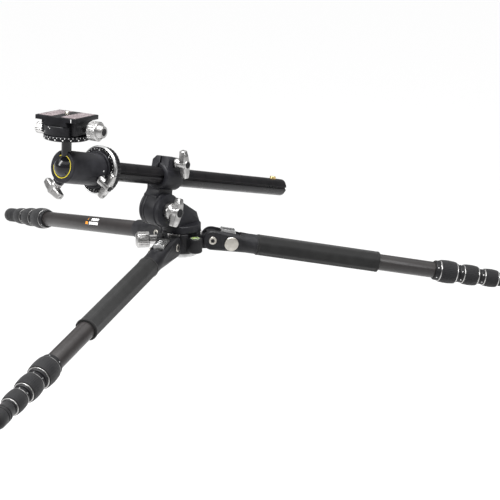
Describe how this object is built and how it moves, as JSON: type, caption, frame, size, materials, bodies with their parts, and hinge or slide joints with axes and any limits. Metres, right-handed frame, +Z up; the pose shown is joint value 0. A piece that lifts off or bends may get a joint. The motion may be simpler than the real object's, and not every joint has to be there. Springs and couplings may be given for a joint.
{
  "type": "camera tripod with ball head",
  "caption": "Low-spread folding tripod with telescoping legs, a swinging centre column, a ball head and a quick-release camera plate.",
  "frame": {"origin": "on the floor, under the middle of the box round the three rubber feet", "axes": "+Z up; the centre column's tail points to +Y and its head end to -Y; the swing pivot's knob is on the +X side"},
  "size_m": [0.9298, 0.9392, 0.334],
  "materials": {
    "black_casting": "fine-textured satin black paint",
    "satin_grey": "satin dark grey anodised",
    "gloss_black": "semi-gloss black anodised",
    "silver": "brushed silver anodised",
    "bolt_steel": "machined steel",
    "carbon": "clear-coated woven carbon fibre",
    "grip_rubber": "textured rubber",
    "lock_rubber": "ribbed rubber with silver rings",
    "foot_rubber": "matt rubber",
    "black_plastic": "moulded black plastic",
    "vial": "yellow-green fluid in a clear vial",
    "brass": "brushed brass",
    "ball_black": "polished black hard anodised"
  },
  "bodies": {
    "hub": {"hub": "black_casting", "angle_stops": "silver", "hub_base_ring": "silver", "bubble_level": "black_plastic", "level_vial": "vial"},
    "canopy": {"canopy": "black_casting"},
    "canopy_knob": {"canopy_knob": "silver"},
    "swing_arm": {"column_arm": "black_casting"},
    "pivot_knob": {"pivot_knob": "silver"},
    "collar_knob": {"collar_knob": "silver"},
    "column": {"column": "gloss_black", "column_end_cap": "black_plastic", "head_base": "satin_grey"},
    "stop_button": {"stop_button": "brass"},
    "head": {"head_body": "satin_grey"},
    "head_pan_knob": {"head_pan_knob": "silver"},
    "head_ball_knob": {"head_ball_knob": "silver"},
    "ball": {"head_ball": "ball_black", "pan_base": "gloss_black"},
    "clamp": {"clamp_body": "black_casting"},
    "jaw": {"clamp_jaw": "black_casting"},
    "clamp_knob": {"clamp_knob": "silver"},
    "pan_lock_knob": {"pan_lock_knob": "silver"},
    "plate": {"quick_plate": "black_casting"},
    "camera_screw": {"camera_screw": "bolt_steel"},
    "leg_a": {"leg_a_casting": "black_casting", "leg_a_pivot_bolt": "bolt_steel", "leg_a_grip": "grip_rubber", "leg_a_tube_1": "carbon"},
    "leg_a_tab": {"leg_a_angle_tab": "silver"},
    "leg_a_lock_1": {"leg_a_lock_1": "lock_rubber"},
    "leg_a_lock_2": {"leg_a_lock_2": "lock_rubber"},
    "leg_a_lock_3": {"leg_a_lock_3": "lock_rubber"},
    "leg_a_section_2": {"leg_a_tube_2": "carbon"},
    "leg_a_section_3": {"leg_a_tube_3": "carbon"},
    "leg_a_section_4": {"leg_a_tube_4": "carbon", "leg_a_foot": "foot_rubber"},
    "leg_b": {"leg_b_casting": "black_casting", "leg_b_pivot_bolt": "bolt_steel", "leg_b_grip": "grip_rubber", "leg_b_tube_1": "carbon"},
    "leg_b_tab": {"leg_b_angle_tab": "silver"},
    "leg_b_lock_1": {"leg_b_lock_1": "lock_rubber"},
    "leg_b_lock_2": {"leg_b_lock_2": "lock_rubber"},
    "leg_b_lock_3": {"leg_b_lock_3": "lock_rubber"},
    "leg_b_section_2": {"leg_b_tube_2": "carbon"},
    "leg_b_section_3": {"leg_b_tube_3": "carbon"},
    "leg_b_section_4": {"leg_b_tube_4": "carbon", "leg_b_foot": "foot_rubber"},
    "leg_c": {"leg_c_casting": "black_casting", "leg_c_pivot_bolt": "bolt_steel", "leg_c_tube_1": "carbon"},
    "leg_c_tab": {"leg_c_angle_tab": "silver"},
    "leg_c_lock_1": {"leg_c_lock_1": "lock_rubber"},
    "leg_c_lock_2": {"leg_c_lock_2": "lock_rubber"},
    "leg_c_lock_3": {"leg_c_lock_3": "lock_rubber"},
    "leg_c_section_2": {"leg_c_tube_2": "carbon"},
    "leg_c_section_3": {"leg_c_tube_3": "carbon"},
    "leg_c_section_4": {"leg_c_tube_4": "carbon", "leg_c_foot": "foot_rubber"}
  },
  "joints": [
    {"name": "column_swing", "type": "hinge", "parent": "canopy", "child": "swing_arm", "pos_m": [0.07539, 0.01531, 0.15585], "axis": [1, 0, 0], "range_deg": [-20, 12]},
    {"name": "column_slide", "type": "slide", "parent": "swing_arm", "child": "column", "axis": [0, 0.9709, -0.2394], "range_m": [-0.24, 0.08]},
    {"name": "canopy_turn", "type": "hinge", "parent": "hub", "child": "canopy", "pos_m": [0.07539, 0.06531, 0.09785], "axis": [0, 0, 1], "continuous": true},
    {"name": "head_pan", "type": "hinge", "parent": "column", "child": "head", "pos_m": [0.07539, -0.10768, 0.23767], "axis": [0, -0.9709, 0.2394], "continuous": true},
    {"name": "ball_tilt", "type": "hinge", "parent": "head", "child": "ball", "pos_m": [0.07539, -0.18147, 0.25587], "axis": [1, 0, 0], "range_deg": [-10, 106]},
    {"name": "platform_pan", "type": "hinge", "parent": "ball", "child": "clamp", "pos_m": [0.07539, -0.18147, 0.25587], "axis": [0, 0.0497, 0.9988], "continuous": true},
    {"name": "leg_a_fold", "type": "hinge", "parent": "hub", "child": "leg_a", "pos_m": [0.10798, 0.09917, 0.09785], "axis": [-0.7206, 0.6934, 0], "range_deg": [0, 80]},
    {"name": "leg_b_fold", "type": "hinge", "parent": "hub", "child": "leg_b", "pos_m": [0.08843, 0.02015, 0.09785], "axis": [0.9608, 0.2773, 0], "range_deg": [0, 80]},
    {"name": "leg_c_fold", "type": "hinge", "parent": "hub", "child": "leg_c", "pos_m": [0.02977, 0.0766, 0.09785], "axis": [-0.2402, -0.9707, 0], "range_deg": [0, 80]},
    {"name": "leg_a_extend_2", "type": "slide", "parent": "leg_a", "child": "leg_a_section_2", "axis": [0.6834, 0.7101, -0.1693], "range_m": [0, 0.25]},
    {"name": "leg_a_extend_3", "type": "slide", "parent": "leg_a_section_2", "child": "leg_a_section_3", "axis": [0.6834, 0.7101, -0.1693], "range_m": [0, 0.25]},
    {"name": "leg_a_extend_4", "type": "slide", "parent": "leg_a_section_3", "child": "leg_a_section_4", "axis": [0.6834, 0.7101, -0.1693], "range_m": [0, 0.25]},
    {"name": "leg_b_extend_2", "type": "slide", "parent": "leg_b", "child": "leg_b_section_2", "axis": [0.2733, -0.9469, -0.1693], "range_m": [0, 0.25]},
    {"name": "leg_b_extend_3", "type": "slide", "parent": "leg_b_section_2", "child": "leg_b_section_3", "axis": [0.2733, -0.9469, -0.1693], "range_m": [0, 0.25]},
    {"name": "leg_b_extend_4", "type": "slide", "parent": "leg_b_section_3", "child": "leg_b_section_4", "axis": [0.2733, -0.9469, -0.1693], "range_m": [0, 0.25]},
    {"name": "leg_c_extend_2", "type": "slide", "parent": "leg_c", "child": "leg_c_section_2", "axis": [-0.9567, 0.2368, -0.1693], "range_m": [0, 0.25]},
    {"name": "leg_c_extend_3", "type": "slide", "parent": "leg_c_section_2", "child": "leg_c_section_3", "axis": [-0.9567, 0.2368, -0.1693], "range_m": [0, 0.25]},
    {"name": "leg_c_extend_4", "type": "slide", "parent": "leg_c_section_3", "child": "leg_c_section_4", "axis": [-0.9567, 0.2368, -0.1693], "range_m": [0, 0.25]},
    {"name": "plate_slide", "type": "slide", "parent": "clamp", "child": "plate", "axis": [-0.1736, 0.9836, -0.049], "range_m": [-0.012, 0.012]},
    {"name": "clamp_knob_turn", "type": "hinge", "parent": "clamp", "child": "clamp_knob", "pos_m": [0.07539, -0.1787, 0.3116], "axis": [0.9848, 0.1734, -0.0086], "range_deg": [0, 1440]},
    {"name": "jaw_slide", "type": "slide", "parent": "clamp", "child": "jaw", "axis": [0.9848, 0.1734, -0.0086], "range_m": [0, 0.005]},
    {"name": "stop_button_press", "type": "slide", "parent": "column", "child": "stop_button", "axis": [0, -0.2394, -0.9709], "range_m": [0, 0.003], "stiffness_N_per_m": 600},
    {"name": "leg_a_tab_pull", "type": "slide", "parent": "leg_a", "child": "leg_a_tab", "axis": [0.6834, 0.7101, -0.1693], "range_m": [0, 0.006], "stiffness_N_per_m": 400},
    {"name": "leg_b_tab_pull", "type": "slide", "parent": "leg_b", "child": "leg_b_tab", "axis": [0.2733, -0.9469, -0.1693], "range_m": [0, 0.006], "stiffness_N_per_m": 400},
    {"name": "leg_c_tab_pull", "type": "slide", "parent": "leg_c", "child": "leg_c_tab", "axis": [-0.9567, 0.2368, -0.1693], "range_m": [0, 0.006], "stiffness_N_per_m": 400},
    {"name": "leg_a_lock_1_twist", "type": "hinge", "parent": "leg_a", "child": "leg_a_lock_1", "pos_m": [0.35783, 0.3588, 0.03594], "axis": [0.6834, 0.7101, -0.1693], "range_deg": [0, 150]},
    {"name": "leg_a_lock_2_twist", "type": "hinge", "parent": "leg_a_section_2", "child": "leg_a_lock_2", "pos_m": [0.38605, 0.38813, 0.02894], "axis": [0.6834, 0.7101, -0.1693], "range_deg": [0, 150]},
    {"name": "leg_a_lock_3_twist", "type": "hinge", "parent": "leg_a_section_3", "child": "leg_a_lock_3", "pos_m": [0.41086, 0.41391, 0.0228], "axis": [0.6834, 0.7101, -0.1693], "range_deg": [0, 150]},
    {"name": "leg_b_lock_1_twist", "type": "hinge", "parent": "leg_b", "child": "leg_b_lock_1", "pos_m": [0.18835, -0.32604, 0.03594], "axis": [0.2733, -0.9469, -0.1693], "range_deg": [0, 150]},
    {"name": "leg_b_lock_2_twist", "type": "hinge", "parent": "leg_b_section_2", "child": "leg_b_lock_2", "pos_m": [0.19963, -0.36514, 0.02894], "axis": [0.2733, -0.9469, -0.1693], "range_deg": [0, 150]},
    {"name": "leg_b_lock_3_twist", "type": "hinge", "parent": "leg_b_section_3", "child": "leg_b_lock_3", "pos_m": [0.20955, -0.39952, 0.0228], "axis": [0.2733, -0.9469, -0.1693], "range_deg": [0, 150]},
    {"name": "leg_c_lock_1_twist", "type": "hinge", "parent": "leg_c", "child": "leg_c_lock_1", "pos_m": [-0.32, 0.16316, 0.03594], "axis": [-0.9567, 0.2368, -0.1693], "range_deg": [0, 150]},
    {"name": "leg_c_lock_2_twist", "type": "hinge", "parent": "leg_c_section_2", "child": "leg_c_lock_2", "pos_m": [-0.35951, 0.17294, 0.02894], "axis": [-0.9567, 0.2368, -0.1693], "range_deg": [0, 150]},
    {"name": "leg_c_lock_3_twist", "type": "hinge", "parent": "leg_c_section_3", "child": "leg_c_lock_3", "pos_m": [-0.39424, 0.18153, 0.0228], "axis": [-0.9567, 0.2368, -0.1693], "range_deg": [0, 150]},
    {"name": "pivot_knob_turn", "type": "hinge", "parent": "canopy", "child": "pivot_knob", "pos_m": [0.07539, 0.01531, 0.15585], "axis": [1, 0, 0], "range_deg": [0, 540]},
    {"name": "collar_knob_turn", "type": "hinge", "parent": "swing_arm", "child": "collar_knob", "pos_m": [0.07539, 0.03278, 0.22673], "axis": [1, 0, 0], "range_deg": [0, 540]},
    {"name": "canopy_knob_turn", "type": "hinge", "parent": "hub", "child": "canopy_knob", "pos_m": [0.07539, 0.06531, 0.09785], "axis": [-0.6934, -0.7206, 0], "range_deg": [0, 540]},
    {"name": "head_pan_knob_turn", "type": "hinge", "parent": "head", "child": "head_pan_knob", "pos_m": [0.07539, -0.13292, 0.2439], "axis": [0.8829, -0.1124, -0.4558], "range_deg": [0, 540]},
    {"name": "head_ball_knob_turn", "type": "hinge", "parent": "head", "child": "head_ball_knob", "pos_m": [0.07539, -0.17759, 0.25491], "axis": [-0.5299, -0.203, -0.8234], "range_deg": [0, 540]},
    {"name": "pan_lock_knob_turn", "type": "hinge", "parent": "clamp", "child": "pan_lock_knob", "pos_m": [0.07539, -0.17899, 0.3056], "axis": [-0.9848, -0.1734, 0.0086], "range_deg": [0, 540]},
    {"name": "camera_screw_turn", "type": "hinge", "parent": "plate", "child": "camera_screw", "pos_m": [0.07539, -0.18147, 0.25587], "axis": [0, 0.0497, 0.9988], "continuous": true}
  ],
  "couplings": [
    {"joint": "jaw_slide", "follows": "clamp_knob_turn", "m_per_rad": 0.00019894}
  ]
}
